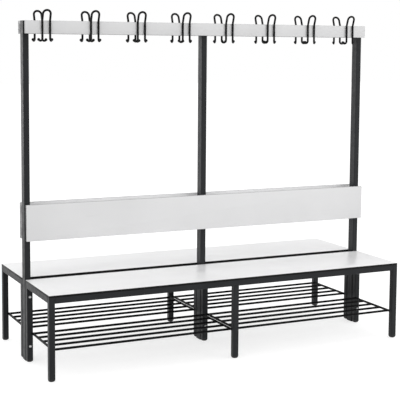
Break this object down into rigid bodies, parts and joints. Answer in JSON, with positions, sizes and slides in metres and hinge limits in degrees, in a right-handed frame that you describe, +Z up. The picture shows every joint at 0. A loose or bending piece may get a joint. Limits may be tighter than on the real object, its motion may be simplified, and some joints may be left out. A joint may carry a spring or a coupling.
{
  "type": "double-sided cloakroom bench",
  "caption": "Free-standing double-sided cloakroom bench with laminate seats, backrests and hook rails on a dark tubular steel frame, wire coat hooks above and shoe racks below.",
  "frame": {"origin": "on the floor under the middle of the bench", "axes": "+X along the bench, +Y across it towards the rear seat, +Z up"},
  "size_m": [2, 0.85, 1.782],
  "materials": {
    "frame_coat": "fine satin powder coat",
    "hook_coat": "smooth black coat",
    "laminate": "matt light grey laminate, edges dark on the seats and mid grey on the upright boards",
    "black_plastic": "moulded, slightly rough",
    "zinc": "dull zinc plate"
  },
  "bodies": {
    "root": {"front_outer_rail": "frame_coat", "front_inner_rail": "frame_coat", "front_middle_cross_rail": "frame_coat", "front_left_end_rail": "frame_coat", "front_right_end_rail": "frame_coat", "front_left_leg": "frame_coat", "front_middle_leg": "frame_coat", "front_right_leg": "frame_coat", "front_left_inner_leg": "frame_coat", "front_middle_inner_leg": "frame_coat", "front_right_inner_leg": "frame_coat", "front_seat_board": "laminate", "front_backrest_board": "laminate", "front_hook_board": "laminate", "front_rack_bars": "frame_coat", "front_hook_1": "hook_coat", "front_hook_2": "hook_coat", "front_hook_3": "hook_coat", "front_hook_4": "hook_coat", "front_hook_5": "hook_coat", "front_hook_6": "hook_coat", "front_hook_7": "hook_coat", "front_hook_8": "hook_coat", "rear_outer_rail": "frame_coat", "rear_inner_rail": "frame_coat", "rear_middle_cross_rail": "frame_coat", "rear_left_end_rail": "frame_coat", "rear_right_end_rail": "frame_coat", "rear_left_leg": "frame_coat", "rear_middle_leg": "frame_coat", "rear_right_leg": "frame_coat", "rear_left_inner_leg": "frame_coat", "rear_middle_inner_leg": "frame_coat", "rear_right_inner_leg": "frame_coat", "rear_seat_board": "laminate", "rear_backrest_board": "laminate", "rear_hook_board": "laminate", "rear_rack_bars": "frame_coat", "rear_hook_1": "hook_coat", "rear_hook_2": "hook_coat", "rear_hook_3": "hook_coat", "rear_hook_4": "hook_coat", "rear_hook_5": "hook_coat", "rear_hook_6": "hook_coat", "rear_hook_7": "hook_coat", "rear_hook_8": "hook_coat", "left_post": "frame_coat", "middle_post": "frame_coat", "right_post": "frame_coat", "rack_end_bars": "frame_coat", "board_brackets": "frame_coat", "outer_leg_feet": "black_plastic", "inner_leg_feet": "black_plastic", "post_caps": "black_plastic", "stand_spacers": "black_plastic", "board_screws": "zinc", "seat_screws": "zinc", "hook_nuts": "zinc", "stand_bolts": "zinc", "stand_nuts": "zinc"}
  },
  "joints": []
}
